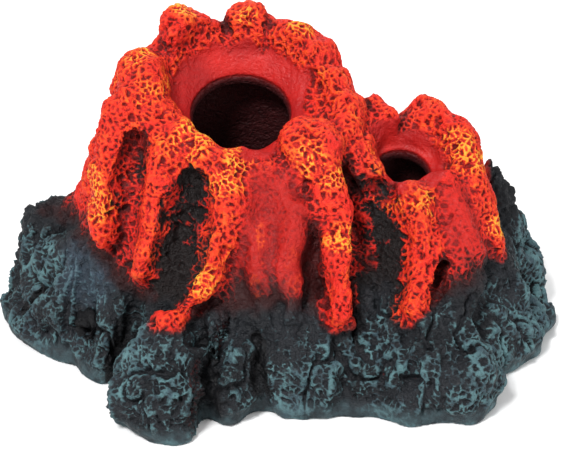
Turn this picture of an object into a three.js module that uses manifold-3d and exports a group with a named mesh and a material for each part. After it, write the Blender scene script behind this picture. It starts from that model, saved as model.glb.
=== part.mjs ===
// Twin-crater volcano ornament for an aquarium, with the air fittings that make it bubble.
//
// A hollow cast-resin shell stands on the tank floor like a bell: a tall main cone and a lower side
// cone share a skirt of rock, and each crater floor has a vent through to the hollow. Under it, three
// suction cups hold a run of airline that feeds a porous air stone below each vent. The shell
// lifts straight up off the air fittings, and each stone pulls up off its riser tube.
//
// Millimetres, +Z up. The origin is on the tank floor at the middle of the shell's outline;
// the craters lean towards -Y, which is the front.

import * as THREE from 'three';
import { LoftGeometry } from 'three/addons/geometries/LoftGeometry.js';
import { mergeVertices } from 'three/addons/utils/BufferGeometryUtils.js';
import Module from 'manifold-3d';

const wasm = await Module();
wasm.setup();

// ---------------------------------------------------------------- driving dimensions

const GAP = 0.3; // between pieces that touch
const SHELL_DETAIL = 0.2; // finest shape kept on the rock
const CRATER_TILT = THREE.MathUtils.degToRad(25); // craters lean to the front

const MAIN = { vent: [-11, -4, 66.5], ventRadius: 14, bowlRadius: 18.5, bowlDepth: 9 };
const SIDE = { vent: [37, -5, 52], ventRadius: 8.6, bowlRadius: 11.2, bowlDepth: 6 };

const SKIRT_CENTRE = [-2, -5];
const WALL = 6; // skirt wall at the tank floor

const NOTCH = { x: 12, halfWidth: 7, height: 21.5, front: 14, back: 64 }; // mouse-hole in the back for the airline

const AIR_ROW = -4; // Y of the tube that runs below both vents
const AIR_HEIGHT = 14; // Z of every horizontal tube's axis
const TUBE = { outer: 3, bore: 2.1 }; // 4/6 mm airline
const BARB = { radius: 1.8, valley: 1.4, bore: 1.0, body: 3.4, collar: 4, rings: 3 };
const TEE = { x: 12, arm: 9 };
const ELBOW = { arm: 8.5, rise: 8 };
const NIPPLE = { below: 4.6, flange: 3.4, flangeHeight: 1.6, above: 6, tip: 1.5 };
const INLET = { y: 40, half: 10, collar: 4.6, collarHalf: 2.2 };
const STONE_BASE = 27; // Z where both air stones start
const STONES = {
  main: { x: MAIN.vent[0], radius: 9, height: 19 },
  side: { x: SIDE.vent[0], radius: 6, height: 10 },
};
const CUP = { radius: 10, neck: 2.1, button: 3.2, top: 8.6 };
const CUPS = [
  { name: 'inlet', x: TEE.x, y: 19, turned: false },
  { name: 'main', x: -0.4, y: AIR_ROW, turned: true },
  { name: 'side', x: 25.3, y: AIR_ROW, turned: true },
];
const CLIP = {
  width: 5, half: 5, bottom: 5.6, top: 10.2, ring: 5, grip: TUBE.outer + GAP, mouth: 1.15,
};

// ---------------------------------------------------------------- looks

const PAINT = {
  resin: new THREE.MeshStandardMaterial({ color: 0xb8301a, roughness: 0.75, metalness: 0 }),
  silicone: new THREE.MeshStandardMaterial({ color: 0xdfe6e2, roughness: 0.35, metalness: 0 }),
  rubber: new THREE.MeshStandardMaterial({ color: 0xbfc9c6, roughness: 0.4, metalness: 0 }),
  plastic: new THREE.MeshStandardMaterial({ color: 0x1c1f21, roughness: 0.45, metalness: 0 }),
  clip: new THREE.MeshStandardMaterial({ color: 0x2a2e30, roughness: 0.5, metalness: 0 }),
  stone: new THREE.MeshStandardMaterial({ color: 0x3f6f9c, roughness: 0.95, metalness: 0 }),
};

// ---------------------------------------------------------------- solids

// A three.js geometry as a closed manifold-3d solid.
function solid(geometry) {
  const bare = geometry.index ? geometry.toNonIndexed() : geometry.clone();
  bare.deleteAttribute('normal');
  bare.deleteAttribute('uv');
  const merged = mergeVertices(bare, 1e-3);
  const corners = [];
  for (let i = 0; i < merged.index.count; i += 3) {
    const [a, b, c] = [0, 1, 2].map((k) => merged.index.getX(i + k));
    if (a !== b && b !== c && c !== a) corners.push(a, b, c);
  }
  return new wasm.Manifold(
    new wasm.Mesh({
      numProp: 3,
      vertProperties: merged.attributes.position.array,
      triVerts: new Uint32Array(corners),
    }),
  );
}

const union = (solids) => solids.reduce((all, one) => all.add(one));
const cut = (from, solids) => solids.reduce((left, one) => left.subtract(one), from);

// A named mesh of a solid, without the slivers that booleans leave.
function meshOf(name, made, material, tolerance = 0.004) {
  const { vertProperties, triVerts, numProp } = made.simplify(tolerance).getMesh();
  const positions = new Float32Array((vertProperties.length / numProp) * 3);
  for (let i = 0; i < positions.length / 3; i++) {
    positions.set(vertProperties.subarray(i * numProp, i * numProp + 3), i * 3);
  }
  const geometry = new THREE.BufferGeometry();
  geometry.setAttribute('position', new THREE.BufferAttribute(positions, 3));
  geometry.setIndex(new THREE.BufferAttribute(new Uint32Array(triVerts), 1));
  geometry.computeVertexNormals();
  const mesh = new THREE.Mesh(geometry, material);
  mesh.name = name;
  return mesh;
}

// A turned solid about +Z from [radius, z] points, which start and end on the axis.
function turned(points, segments = 28) {
  const profile = points.map(([r, z]) => new THREE.Vector2(r, z));
  return solid(new THREE.LatheGeometry(profile, segments).rotateX(Math.PI / 2));
}

// A solid or hollow rod along +Z.
function rod(radius, bottom, top, segments = 20) {
  return turned([[0, bottom], [radius, bottom], [radius, top], [0, top]], segments);
}

function ball(x, y, z, radius, segments = 16) {
  const sphere = new THREE.SphereGeometry(radius, segments, Math.round(segments * 0.7));
  return solid(sphere.rotateX(Math.PI / 2).translate(x, y, z));
}

function box(low, high) {
  const size = high.map((h, i) => h - low[i]);
  const middle = high.map((h, i) => (h + low[i]) / 2);
  return solid(new THREE.BoxGeometry(...size).translate(...middle));
}

// A solid made about +Z, turned to run along another direction from a point.
function aimed(made, direction, at) {
  const turn = new THREE.Quaternion().setFromUnitVectors(
    new THREE.Vector3(0, 0, 1),
    new THREE.Vector3(...direction).normalize(),
  );
  const place = new THREE.Matrix4().compose(
    new THREE.Vector3(...at),
    turn,
    new THREE.Vector3(1, 1, 1),
  );
  return made.transform(place.toArray());
}

// ---------------------------------------------------------------- rock forms

const { sin, cos, PI } = Math;
const loft = (sections) => solid(new LoftGeometry(sections, { capStart: true, capEnd: true }));
const turnOf = (i, count) => (i / count) * 2 * PI;

// How far two directions in degrees are apart, from -180 to 180.
const apart = (a, b) => ((a - b + 540) % 360) - 180;

// Lava flows on a cone run from a lobe on the rim down the wall. Degrees are counted from the right,
// towards the back. A flow stands out from the wall by `out`, lifts the rim by `up` and ends at Z `to`.
const MAIN_FLOWS = [
  { top: 139, foot: 126, width: 17, out: 5, up: 4, to: 24 },
  { top: 91, foot: 92, width: 12, out: 4, up: 4, to: 46 },
  { top: 45, foot: 52, width: 17, out: 5, up: 2, to: 26 },
  { top: 15, foot: 14, width: 12, out: 4, up: -3, to: 45 },
  { top: 352, foot: 350, width: 12, out: 4, up: -5, to: 45 },
  { top: 322, foot: 308, width: 14, out: 5, up: 2, to: 22 },
  { top: 291, foot: 290, width: 7, out: 2.6, up: -2, to: 27 },
  { top: 275, foot: 271, width: 6, out: 2.6, up: -3, to: 27 },
  { top: 255, foot: 251, width: 10, out: 6, up: 0, to: 20 },
  { top: 223, foot: 231, width: 11, out: 4.6, up: 1, to: 34 },
  { top: 199, foot: 210, width: 11, out: 5, up: 1, to: 36 },
  { top: 172, foot: 180, width: 13, out: 5, up: 3, to: 40 },
];

const SIDE_FLOWS = [
  { top: 144, foot: 140, width: 20, out: 3, up: 2, to: 44 },
  { top: 63, foot: 62, width: 22, out: 3, up: 1.5, to: 28 },
  { top: 8, foot: 333, width: 18, out: 4, up: 1, to: 28 },
  { top: 310, foot: 306, width: 13, out: 2.5, up: -1, to: 32 },
  { top: 270, foot: 264, width: 14, out: 4.6, up: 0, to: 18 },
  { top: 213, foot: 222, width: 18, out: 3, up: 2, to: 40 },
];

// Each cone: oval wall sections from the tank floor up, then the middle line of its thick rim.
const MAIN_CONE = {
  flows: MAIN_FLOWS,
  walls: [
    { at: [-12, 0, 0], left: 62, right: 52, front: 47, back: 44 },
    { at: [-12, 0, 20], left: 55, right: 46, front: 42, back: 40, tilt: 0.02 },
    { at: [-12, 0, 36], left: 48, right: 38, front: 36, back: 35, tilt: 0.06 },
    { at: [-12, 0, 50], left: 42.5, right: 32, front: 31, back: 30, tilt: 0.14 },
    { at: [-11.5, -1, 62], left: 36, right: 29, front: 26, back: 27, tilt: 0.3 },
  ],
  rim: { at: [-11, -2, 72.5], left: 24.5, right: 24, front: 21, back: 22, tilt: 0.52 },
  thick: 7,
};

const SIDE_CONE = {
  flows: SIDE_FLOWS,
  walls: [
    { at: [37, -4, 0], left: 34, right: 33, front: 46, back: 36 },
    { at: [37, -4, 20], left: 30, right: 30, front: 36, back: 30, tilt: 0.04 },
    { at: [37.5, -4, 34], left: 23, right: 24, front: 25, back: 23, tilt: 0.12 },
    { at: [38, -4, 45], left: 18, right: 19, front: 17.5, back: 17.5, tilt: 0.3 },
  ],
  rim: { at: [38, -5, 55], left: 14, right: 14, front: 12.5, back: 12.5, tilt: 0.4 },
  thick: 5,
};

// Rounded cross section of a rim, outwards and upwards in shares of its thickness.
const RIM_ROUND = [[1, -0.3], [0.92, 0.35], [0.55, 0.85], [0, 1], [-0.5, 0.8]];

function flowStrength({ top, foot, width }, degrees, height) {
  const middle = foot + apart(top, foot) * height;
  return Math.exp(-((apart(degrees, middle) / width) ** 4));
}

// One oval section of a cone as points; `swell` gives the outward and upward shift at each angle.
function oval({ at, left, right, front, back, tilt = 0 }, swell = () => [0, 0], count = 64) {
  return Array.from({ length: count }, (_, i) => {
    const angle = turnOf(i, count);
    const [out, up] = swell(THREE.MathUtils.radToDeg(angle));
    const across = cos(angle) * ((cos(angle) > 0 ? right : left) + out);
    const along = sin(angle) * ((sin(angle) > 0 ? back : front) + out);
    return new THREE.Vector3(
      at[0] + across,
      at[1] + along * cos(tilt),
      at[2] + along * sin(tilt) + up,
    );
  });
}

function cone({ walls, rim, thick, flows }) {
  const topOfWall = walls[walls.length - 1].at[2];
  const wallSections = walls.map((wall) => {
    const z = wall.at[2];
    return oval(wall, (degrees) => {
      const out = flows.map((flow) => {
        const reached = THREE.MathUtils.smoothstep(z, flow.to - 10, flow.to + 4);
        return flow.out * reached * flowStrength(flow, degrees, z / topOfWall);
      });
      return [out.reduce((a, b) => a + b) - 1, 0];
    });
  });
  const rimSections = RIM_ROUND.map(([outward, upward]) =>
    oval(rim, (degrees) => {
      const strengths = flows.map((flow) => flowStrength(flow, degrees, 1));
      const lobe = Math.min(1, strengths.reduce((a, b) => a + b));
      const lift = strengths.reduce((sum, strength, i) => sum + strength * flows[i].up, 0);
      return [
        outward * thick * (0.5 + 0.5 * lobe),
        upward * thick * (0.4 + 0.6 * lobe) + lift - (1 - lobe) * 2,
      ];
    }),
  );
  const plug = oval({
    at: [rim.at[0], rim.at[1], rim.at[2] + thick],
    left: rim.left - thick,
    right: rim.right - thick,
    front: rim.front - thick,
    back: rim.back - thick,
    tilt: rim.tilt,
  });
  return loft([...wallSections, ...rimSections, plug]);
}

// The hollow below a cone: its walls drawn in by `wall` and lowered by `drop`, one pair a section.
function coneHollow({ walls }, inner) {
  return loft(
    inner.map(([wall, drop], i) => {
      const { at, left, right, front, back, tilt } = walls[i];
      return oval({
        at: [at[0], at[1], at[2] - drop],
        left: left - wall,
        right: right - wall,
        front: front - wall,
        back: back - wall,
        tilt,
      }, undefined, 40);
    }),
  );
}

// A ridge or groove: round sections that follow [x, y, z, radius] points.
function streak(points, sides = 8, steps = 6) {
  const path = new THREE.CatmullRomCurve3(points.map(([x, y, z]) => new THREE.Vector3(x, y, z)));
  const sections = Array.from({ length: steps + 1 }, (_, i) => {
    const t = i / steps;
    const place = t * (points.length - 1);
    const from = Math.min(Math.floor(place), points.length - 2);
    const radius = THREE.MathUtils.lerp(points[from][3], points[from + 1][3], place - from);
    const end = i === 0 || i === steps ? 0.55 : 1;
    const ahead = path.getTangent(t);
    const side = new THREE.Vector3(1, 0, 0).addScaledVector(ahead, -ahead.x).normalize();
    const out = new THREE.Vector3().crossVectors(ahead, side);
    return Array.from({ length: sides }, (_, k) =>
      path
        .getPoint(t)
        .addScaledVector(side, cos(turnOf(k, sides)) * radius * end)
        .addScaledVector(out, sin(turnOf(k, sides)) * radius * end),
    );
  });
  return loft(sections);
}

// Plan of the rock skirt on the tank floor, from the left tip round by the front. The third number
// is the height where that part of the rock has drawn in to half its reach.
const OUTLINE = [
  [-84, 0, 18], [-81, -10, 22], [-72, -21, 29], [-56, -28, 37], [-46, -34, 33], [-46, -48, 27],
  [-43, -57, 27], [-32, -65, 29], [-25, -66, 28], [-21, -57, 22], [-12, -58, 28], [-5, -52, 32],
  [8, -56, 29], [17, -54, 26], [26, -55, 20], [36, -58, 28], [52, -57, 31], [58, -52, 29],
  [60, -42, 29], [62, -34, 37], [69, -28, 30], [76, -20, 22], [81, -8, 14], [80, 3, 21],
  [73, 14, 44], [68, 27, 46], [55, 34, 36], [42, 36, 42], [28, 44, 28], [8, 49, 31], [-12, 46, 40],
  [-30, 50, 28], [-48, 43, 41], [-60, 35, 33], [-73, 26, 38], [-80, 13, 40],
];

const outlineCurve = new THREE.CatmullRomCurve3(
  OUTLINE.map(([x, y, shoulder]) => new THREE.Vector3(x, y, shoulder)),
  true,
  'centripetal',
);

// The skirt at a height; `inset` draws it in by that much for the hollow.
function skirtSection(z, { inset = 0, lower = 0, count = 90, foot = 0 } = {}) {
  return Array.from({ length: count }, (_, i) => {
    const { x, y, z: shoulder } = outlineCurve.getPointAt(i / count);
    const reach = new THREE.Vector2(x - SKIRT_CENTRE[0], y - SKIRT_CENTRE[1]);
    const drawn = 1 - 0.5 * (Math.max(0, z + lower) / shoulder) ** 3.4;
    reach.multiplyScalar(Math.max(drawn, 0.2) * (1 - (inset + foot) / reach.length()));
    return new THREE.Vector3(SKIRT_CENTRE[0] + reach.x, SKIRT_CENTRE[1] + reach.y, z);
  });
}

// Broad bosses of rock that rise through the skirt: x, y, z, radius.
const BOSSES = [
  [-61, 3, 13, 21.5], [-52, -14, 12, 20], [-33, -47, 8, 17], [1, -33, 8, 19], [43, -37, 8, 19],
  [58, 6, 16, 20], [62, 13, 28, 12.5], [29, 22, 12, 20], [-32, 26, 14, 21], [-58, 22, 12, 19],
  [62, -12, 6, 16],
];

// Hollows between the flows: the arched niche, the valley between the cones, a dip on the left.
const GROOVES = [
  [[-24, -27, 57, 4], [-27, -37, 47, 6.5], [-29, -44, 35, 6.5], [-34, -50, 28, 4]],
  [[27, -24, 46, 3], [26, -36, 38, 6], [26, -48, 29, 7], [26, -60, 18, 5]],
  [[-41, -20, 58, 3], [-44, -31, 47, 4], [-44, -39, 38, 3]],
];

const craterAxis = [0, -sin(CRATER_TILT), cos(CRATER_TILT)];

// The bowl of a crater and the vent in its floor, as one tool to cut with.
function craterTool({ vent, ventRadius, bowlRadius, bowlDepth }) {
  const above = 26;
  const below = 14;
  const profile = [
    [0, -below], [ventRadius, -below], [ventRadius, 0], [ventRadius + 1.4, 0.7],
    [bowlRadius - 1.5, bowlDepth], [bowlRadius, above], [0, above],
  ];
  return aimed(turned(profile, 36), craterAxis, vent);
}

function hollow() {
  const inside = { inset: WALL, lower: 5, count: 64 };
  const skirt = loft([-4, 6, 13, 19, 24].map((z) => skirtSection(z, inside)));
  const main = coneHollow(MAIN_CONE, [[8, 4], [8, 2], [7.5, 2], [8, 3], [8, 8]]);
  const side = coneHollow(SIDE_CONE, [[9, 4], [8, 2], [6, 2], [5.5, 1]]);
  return union([skirt, main, side]);
}

// The mouse-hole in the back where the airline goes in: an arch cut through the wall.
function notchTool() {
  const { x, halfWidth, height, front, back } = NOTCH;
  const spring = height - halfWidth;
  const arch = aimed(rod(halfWidth, 0, back - front, 20), [0, 1, 0], [x, front, spring]);
  return box([x - halfWidth, front, -5], [x + halfWidth, back, spring]).add(arch);
}

function volcanoShell() {
  const skirt = loft([
    skirtSection(0, { foot: 1 }),
    ...[3, 9, 15, 20, 25, 30, 35, 41].map((z) => skirtSection(z)),
  ]);
  const bosses = BOSSES.map((boss) => ball(...boss, 20));
  const rock = union([skirt, cone(MAIN_CONE), cone(SIDE_CONE), ...bosses]);
  return cut(rock, [
    hollow(),
    craterTool(MAIN),
    craterTool(SIDE),
    ...GROOVES.map((points) => streak(points)),
    notchTool(),
    box([-120, -120, -30], [120, 120, 0]),
  ]);
}

// ---------------------------------------------------------------- air fittings

// The outline of a hose barb from a start height: three saw-tooth rings.
function barbOutline(start, length) {
  const { radius, valley, rings } = BARB;
  const tooth = length / rings;
  return Array.from({ length: rings }, (_, i) => start + i * tooth).flatMap((z) => [
    [radius, z],
    [valley, z + tooth],
  ]);
}

// Airline tube along a direction, open at both ends.
function tube(direction, at, length) {
  const { outer, bore } = TUBE;
  const wall = turned([[bore, 0], [outer, 0], [outer, length], [bore, length], [bore, 0]], 22);
  return aimed(wall, direction, at);
}

// A barbed fitting: a round body with one arm for each direction.
function fitting(centre, arms) {
  const { body, bore, collar } = BARB;
  const neck = body * 0.8;
  const made = arms.map(({ direction, length }) => {
    const profile = [
      [0, bore * 0.8], [neck, bore * 0.8], [neck, collar],
      ...barbOutline(collar, length - collar), [0, length],
    ];
    return aimed(turned(profile, 16), direction, centre);
  });
  const bores = arms.map(({ direction, length }) =>
    aimed(rod(bore, -bore * 0.8, length + 2, 12), direction, centre),
  );
  return cut(union([ball(...centre, body, 16), ...made]), bores);
}

const [LEFT, RIGHT, BACK, UP] = [[-1, 0, 0], [1, 0, 0], [0, 1, 0], [0, 0, 1]];

function tee() {
  const arms = [LEFT, RIGHT, BACK].map((direction) => ({ direction, length: TEE.arm }));
  return fitting([TEE.x, AIR_ROW, AIR_HEIGHT], arms);
}

function elbow(stone, towards) {
  return fitting([stone.x, AIR_ROW, AIR_HEIGHT], [
    { direction: towards, length: ELBOW.arm },
    { direction: UP, length: ELBOW.rise },
  ]);
}

// Straight coupling in the notch: the supply line pushes on from behind.
function inletCoupling() {
  const { y, half, collar, collarHalf } = INLET;
  const bevel = 0.5;
  const arm = barbOutline(collarHalf, half - collarHalf);
  const otherArm = arm.map(([r, z]) => [r, -z]).reverse();
  const profile = [
    [0, -half], ...otherArm, [collar - bevel, -collarHalf], [collar, -collarHalf + bevel],
    [collar, collarHalf - bevel], [collar - bevel, collarHalf], ...arm, [0, half],
  ];
  const made = turned(profile, 18).subtract(rod(BARB.bore, -half - 2, half + 2, 12));
  return aimed(made, BACK, [TEE.x, y, AIR_HEIGHT]);
}

// The short tube from an elbow up to the flange of the air stone's nipple.
function riser(stone) {
  const bottom = AIR_HEIGHT + BARB.collar + GAP;
  const top = STONE_BASE - NIPPLE.flangeHeight - GAP;
  return tube(UP, [stone.x, AIR_ROW, bottom], top - bottom);
}

// The hard nipple bonded into the foot of an air stone.
function nipple(stone) {
  const { radius } = BARB;
  const { flange, tip } = NIPPLE;
  const foot = STONE_BASE - NIPPLE.below;
  const seat = STONE_BASE - NIPPLE.flangeHeight;
  const top = STONE_BASE + NIPPLE.above;
  const made = turned(
    [[0, foot], [tip, foot], [radius, foot + 1], [radius, seat], [flange, seat],
      [flange, STONE_BASE - GAP], [radius, STONE_BASE - GAP], [radius, top], [0, top]],
    20,
  );
  const bore = rod(BARB.bore, foot - 1, top + 1, 14);
  return made.subtract(bore).translate([stone.x, AIR_ROW, 0]);
}

function airStone({ x, radius, height }) {
  const top = STONE_BASE + height;
  const bevel = radius * 0.22;
  const body = turned(
    [[0, STONE_BASE], [radius - bevel, STONE_BASE], [radius, STONE_BASE + bevel],
      [radius, top - bevel], [radius - bevel, top], [0, top]],
    30,
  );
  const socket = rod(BARB.radius + GAP, STONE_BASE - 1, STONE_BASE + NIPPLE.above + 2, 20);
  return body.subtract(socket).translate([x, AIR_ROW, 0]);
}

function suctionCup({ x, y }) {
  const { radius, neck, button, top } = CUP;
  const profile = [
    [0, 2.4], [3, 2.1], [6.4, 1.1], [8.6, 0], [radius, 0], [radius - 0.4, 0.7], [7.4, 2.3],
    [4.6, 4.2], [neck + 0.7, 5.2], [neck, 5.4], [neck, 7.1], [button, 7.1], [button, top - 0.5],
    [button - 0.6, top], [0, top],
  ];
  return turned(profile, 30).translate([x, y, 0]);
}

// Snap clip: a bridge over the cup's button carries an open ring round the tube.
function tubeClip({ x, y, turned: along }) {
  const { width, half, bottom, top, ring, grip, mouth } = CLIP;
  const up = Math.PI / 2;
  const bridge = new THREE.Shape()
    .moveTo(-half, bottom)
    .lineTo(half, bottom)
    .lineTo(half, top)
    .lineTo(-half, top);
  const [inner, sill, lintel] = [CUP.button + 0.5, CUP.top - 1.8, CUP.top + GAP];
  bridge.holes.push(
    new THREE.Path()
      .moveTo(-inner, sill)
      .lineTo(-inner, lintel)
      .lineTo(inner, lintel)
      .lineTo(inner, sill),
  );
  const arc = new THREE.Shape()
    .absarc(0, AIR_HEIGHT, ring, up + mouth / 2, up - mouth / 2 + 2 * Math.PI, false)
    .absarc(0, AIR_HEIGHT, grip, up - mouth / 2 + 2 * Math.PI, up + mouth / 2, true);
  const side = { depth: width, bevelEnabled: false, curveSegments: 14 };
  const [plate, hoop] = [bridge, arc].map((shape) =>
    solid(new THREE.ExtrudeGeometry(shape, side).rotateX(Math.PI / 2).translate(0, width / 2, 0)),
  );
  const seat = rod(grip, -width, width, 24).rotate([90, 0, 0]).translate([0, 0, AIR_HEIGHT]);
  const made = cut(plate.add(hoop), [seat, rod(CUP.neck + GAP, bottom - 1, sill + 0.1, 18)]);
  return made.rotate([0, 0, along ? 90 : 0]).translate([x, y, 0]);
}

// ---------------------------------------------------------------- assembly

const volcano = new THREE.Group();
const add = (name, made, material, tolerance) =>
  volcano.add(meshOf(name, made, material, tolerance));

add('volcano_shell', volcanoShell(), PAINT.resin, SHELL_DETAIL);

add('inlet_coupling', inletCoupling(), PAINT.plastic);
add('tee_connector', tee(), PAINT.plastic);
add('elbow_main', elbow(STONES.main, RIGHT), PAINT.plastic);
add('elbow_side', elbow(STONES.side, LEFT), PAINT.plastic);

const shoulder = BARB.collar + GAP; // from a fitting's centre to the tube pushed on to it
const inletEnd = INLET.y - INLET.collarHalf - GAP;
const inletStart = AIR_ROW + shoulder;
add('tube_inlet', tube(BACK, [TEE.x, inletStart, AIR_HEIGHT], inletEnd - inletStart), PAINT.silicone);
const mainRun = TEE.x - STONES.main.x - 2 * shoulder;
add('tube_main', tube(LEFT, [TEE.x - shoulder, AIR_ROW, AIR_HEIGHT], mainRun), PAINT.silicone);
const sideRun = STONES.side.x - TEE.x - 2 * shoulder;
add('tube_side', tube(RIGHT, [TEE.x + shoulder, AIR_ROW, AIR_HEIGHT], sideRun), PAINT.silicone);

for (const [name, stone] of Object.entries(STONES)) {
  add(`riser_tube_${name}`, riser(stone), PAINT.silicone);
  add(`stone_nipple_${name}`, nipple(stone), PAINT.plastic);
  add(`air_stone_${name}`, airStone(stone), PAINT.stone);
}

for (const cup of CUPS) {
  add(`suction_cup_${cup.name}`, suctionCup(cup), PAINT.rubber);
  add(`tube_clip_${cup.name}`, tubeClip(cup), PAINT.clip);
}

// The origin goes to the middle of the outline, on the tank floor.
const bounds = new THREE.Box3().setFromObject(volcano);
const middle = bounds.getCenter(new THREE.Vector3());
volcano.position.set(-middle.x, -middle.y, -bounds.min.z);

export default volcano;
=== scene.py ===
"""Twin-crater volcano ornament for an aquarium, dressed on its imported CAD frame.

The shell is sculpted from a distance field: cones, rim lobes, lava flows and rock are blended in
millimetres, meshed, and given pits and chisel marks as real geometry. Masks worked out with the
shape drive the painted-resin material. The two air stones are made again in grit, and the other air
fittings keep their CAD shapes.
"""

import math

import bpy
import numpy as np
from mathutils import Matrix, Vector


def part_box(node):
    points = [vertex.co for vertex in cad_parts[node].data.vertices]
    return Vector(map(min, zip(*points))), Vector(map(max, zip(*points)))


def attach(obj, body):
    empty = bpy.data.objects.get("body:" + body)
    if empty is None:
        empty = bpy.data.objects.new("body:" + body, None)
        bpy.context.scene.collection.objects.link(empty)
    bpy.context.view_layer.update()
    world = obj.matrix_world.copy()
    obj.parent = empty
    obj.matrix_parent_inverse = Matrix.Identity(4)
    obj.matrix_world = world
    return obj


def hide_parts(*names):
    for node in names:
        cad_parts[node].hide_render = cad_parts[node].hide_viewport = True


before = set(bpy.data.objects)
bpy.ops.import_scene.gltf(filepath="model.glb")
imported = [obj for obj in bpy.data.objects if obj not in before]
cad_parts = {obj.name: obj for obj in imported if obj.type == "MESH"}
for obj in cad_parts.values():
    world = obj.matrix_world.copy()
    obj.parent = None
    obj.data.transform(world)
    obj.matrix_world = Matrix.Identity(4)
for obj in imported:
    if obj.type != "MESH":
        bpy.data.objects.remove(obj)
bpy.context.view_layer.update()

GRID_MM = 0.5  # spacing of the shell's sculpting grid
STONE_GRID_MM = 0.4
BLOCK = 8  # grid points along one side of a block that is sampled together
BATCH = 400  # blocks sampled at a time, to hold memory down
MM = 0.001

# ------------------------------------------------------------------ where the sculpture stands

# Where the main air stone stands in the sculpture's own millimetres, used to line it up with the frame.
STONE_AT = np.array([-11.0, -4.0])
_low, _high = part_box("air_stone_main")
FRAME_SHIFT = np.array([
    (_low[0] + _high[0]) / 2 / MM - STONE_AT[0],
    (_low[1] + _high[1]) / 2 / MM - STONE_AT[1],
    0.0,
])

# The box that is sampled round the shell.
SCULPT_LOW = np.array([-88.0, -70.0, -1.6])
SCULPT_HIGH = np.array([87.0, 54.0, 98.0])

# ------------------------------------------------------------------ the volcano's forms, in mm

SKIRT_CENTRE = (-2.0, -5.0)
WALL = 6.0  # of the skirt
MAIN_WALL = 7.5  # of each cone, between its outside and the hollow
SIDE_WALL = 7.0
THINNEST = 3.0  # the hollow is kept this far inside the casting's skin
CEILING = 4.2  # thickness of the crater floors
VENT_DEPTH = 18.0  # how far each vent is cut below its crater floor
SKIRT_HOLLOW = 22.0  # height of the hollow under the skirt

MAIN_VENT = {"at": (-11.5, -2.2, 67.6), "radius": 14.2, "tilt": 27}
SIDE_VENT = {"at": (33.6, -8.0, 51.6), "radius": 8.6, "tilt": 25}
# Each funnel's height along its leaning axis and its radius there.
MAIN_FUNNEL = [(-0.6, 14.2), (0.4, 14.2), (1.6, 15.4), (5, 19.5), (10, 22.5), (16, 24), (40, 30)]
SIDE_FUNNEL = [(-0.6, 8.6), (0.3, 8.6), (1.0, 9.9), (2.2, 10.4), (6, 11.6), (11, 12.6), (30, 18)]

# Walls of each cone: z, then reach to the left, right, front and back of the axis at (x, y).
MAIN_WALLS = [
    (0, 61, 52, 47, 43), (20, 55, 46, 42, 39), (30, 51, 42, 38.5, 37), (40, 47.5, 37, 34, 34),
    (50, 43, 33, 29.5, 31), (62, 36, 30, 24.5, 28), (72, 31, 28, 21, 26), (84, 28, 27, 20, 25),
]
SIDE_WALLS = [
    (0, 34, 34, 47, 36), (20, 29, 31, 36, 30), (30, 24, 28, 28.5, 25), (40, 19, 23.5, 21.5, 20),
    (50, 16, 19.5, 17, 17), (60, 15, 17, 15, 15),
]
MAIN_AXIS = (-12, -1)
SIDE_AXIS = (36.5, -4.5)
MAIN_RIM = {"at": (-11, -3, 71.5), "tilt": 31}
SIDE_RIM = {"at": (36, -5, 55), "tilt": 26}

# Rounded lumps round each crater: x, y, z, radius. Those behind are hollowed by the funnel.
MAIN_BACK_LUMPS = [
    (-28.5, 12.5, 86.3, 8.0), (-23, 17, 82, 6.5), (-10, 18.5, 86.8, 6.4), (-3, 19, 81.5, 5.5),
    (3.5, 14.5, 81.6, 7.6), (9.5, 11, 79, 7.0), (14.5, 5, 73.8, 6.6), (17, -2, 68.5, 6.0),
    (-37, 1, 76.8, 8.2), (-35, 8, 79, 6.6), (-37, -6, 72, 7.2),
]
MAIN_FRONT_LUMPS = [
    (17.5, -8, 64.8, 5.4), (5.5, -16.8, 64.6, 7.0), (11.5, -13, 64.5, 6.0), (-14.5, -20.5, 60.8, 4.8),
    (-6, -21, 58.2, 4.4), (-22, -19.5, 62, 6.0), (-29.5, -15.5, 65.4, 6.8), (-34, -10, 68, 6.5),
    (20, 0, 58, 7.5),
]
SIDE_BACK_LUMPS = [
    (27.3, 4.6, 62.6, 6.6), (22.5, -1, 61, 5.6), (42.5, 7.5, 58.2, 9.4), (48.5, 2, 57, 8.0),
    (50, -4, 53, 7.0),
]
SIDE_FRONT_LUMPS = [
    (50, -10, 48.5, 6.0), (44.5, -15, 46.8, 5.4), (36.5, -18.5, 50.3, 4.6), (26, -14.5, 55, 3.4),
    (22.5, -9, 59.5, 4.8), (29.5, -17.5, 50, 2.8),
]

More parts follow.
